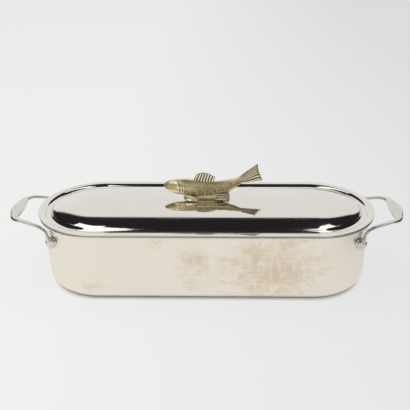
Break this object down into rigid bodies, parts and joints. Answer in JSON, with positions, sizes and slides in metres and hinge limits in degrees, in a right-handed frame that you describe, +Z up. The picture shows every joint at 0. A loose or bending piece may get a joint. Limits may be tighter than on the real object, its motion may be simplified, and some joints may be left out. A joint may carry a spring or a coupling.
{
  "type": "fish poacher",
  "caption": "Long covered steel pan with rounded ends, two loop handles, a lid with a fish-shaped brass knob, and a lift-out perforated rack with folding bails, for poaching whole fish.",
  "frame": {"origin": "on the floor, under the middle of the pan", "axes": "+X along the pan towards the end that the fish's tail points to, -Y the front, +Z up"},
  "size_m": [0.5342, 0.17, 0.1676],
  "materials": {
    "pan_steel": "satin brushed stainless, with tan heat stains and fine scratches",
    "lid_steel": "mirror polished stainless, lightly scratched",
    "handle_steel": "satin cast stainless",
    "rivet_steel": "polished stainless, domed",
    "knob_brass": "satin cast brass, chased, lightly tarnished",
    "screw_steel": "machined stainless",
    "rack_steel": "brushed stainless sheet",
    "wire_steel": "drawn stainless wire"
  },
  "bodies": {
    "pan": {"pan": "pan_steel", "handle_left": "handle_steel", "handle_right": "handle_steel", "rivet_left_front_lower": "rivet_steel", "rivet_left_front_upper": "rivet_steel", "rivet_left_back_lower": "rivet_steel", "rivet_left_back_upper": "rivet_steel", "rivet_right_front_lower": "rivet_steel", "rivet_right_front_upper": "rivet_steel", "rivet_right_back_lower": "rivet_steel", "rivet_right_back_upper": "rivet_steel"},
    "lid": {"lid": "lid_steel", "fish_knob": "knob_brass", "knob_screw_head": "screw_steel", "knob_screw_tail": "screw_steel", "knob_washer_head": "screw_steel", "knob_washer_tail": "screw_steel"},
    "rack": {"rack_plate": "rack_steel", "rack_foot_left_front": "rack_steel", "rack_foot_left_back": "rack_steel", "rack_foot_right_front": "rack_steel", "rack_foot_right_back": "rack_steel", "rack_clip_left_front": "rack_steel", "rack_clip_left_back": "rack_steel", "rack_clip_right_front": "rack_steel", "rack_clip_right_back": "rack_steel"},
    "bail_left": {"rack_bail_left": "wire_steel"},
    "bail_right": {"rack_bail_right": "wire_steel"}
  },
  "joints": [
    {"name": "lid_lift", "type": "slide", "parent": "pan", "child": "lid", "axis": [0, 0, 1], "range_m": [0, 0.24]},
    {"name": "rack_lift", "type": "slide", "parent": "pan", "child": "rack", "axis": [0, 0, 1], "range_m": [0, 0.12]},
    {"name": "rack_bail_left_swing", "type": "hinge", "parent": "rack", "child": "bail_left", "pos_m": [-0.148, 0, 0.0249], "axis": [0, -1, 0], "range_deg": [0, 180]},
    {"name": "rack_bail_right_swing", "type": "hinge", "parent": "rack", "child": "bail_right", "pos_m": [0.148, 0, 0.0249], "axis": [0, 1, 0], "range_deg": [0, 180]}
  ],
  "couplings": [
    {"joint": "rack_lift", "follows": "lid_lift", "ratio": 0.5}
  ]
}
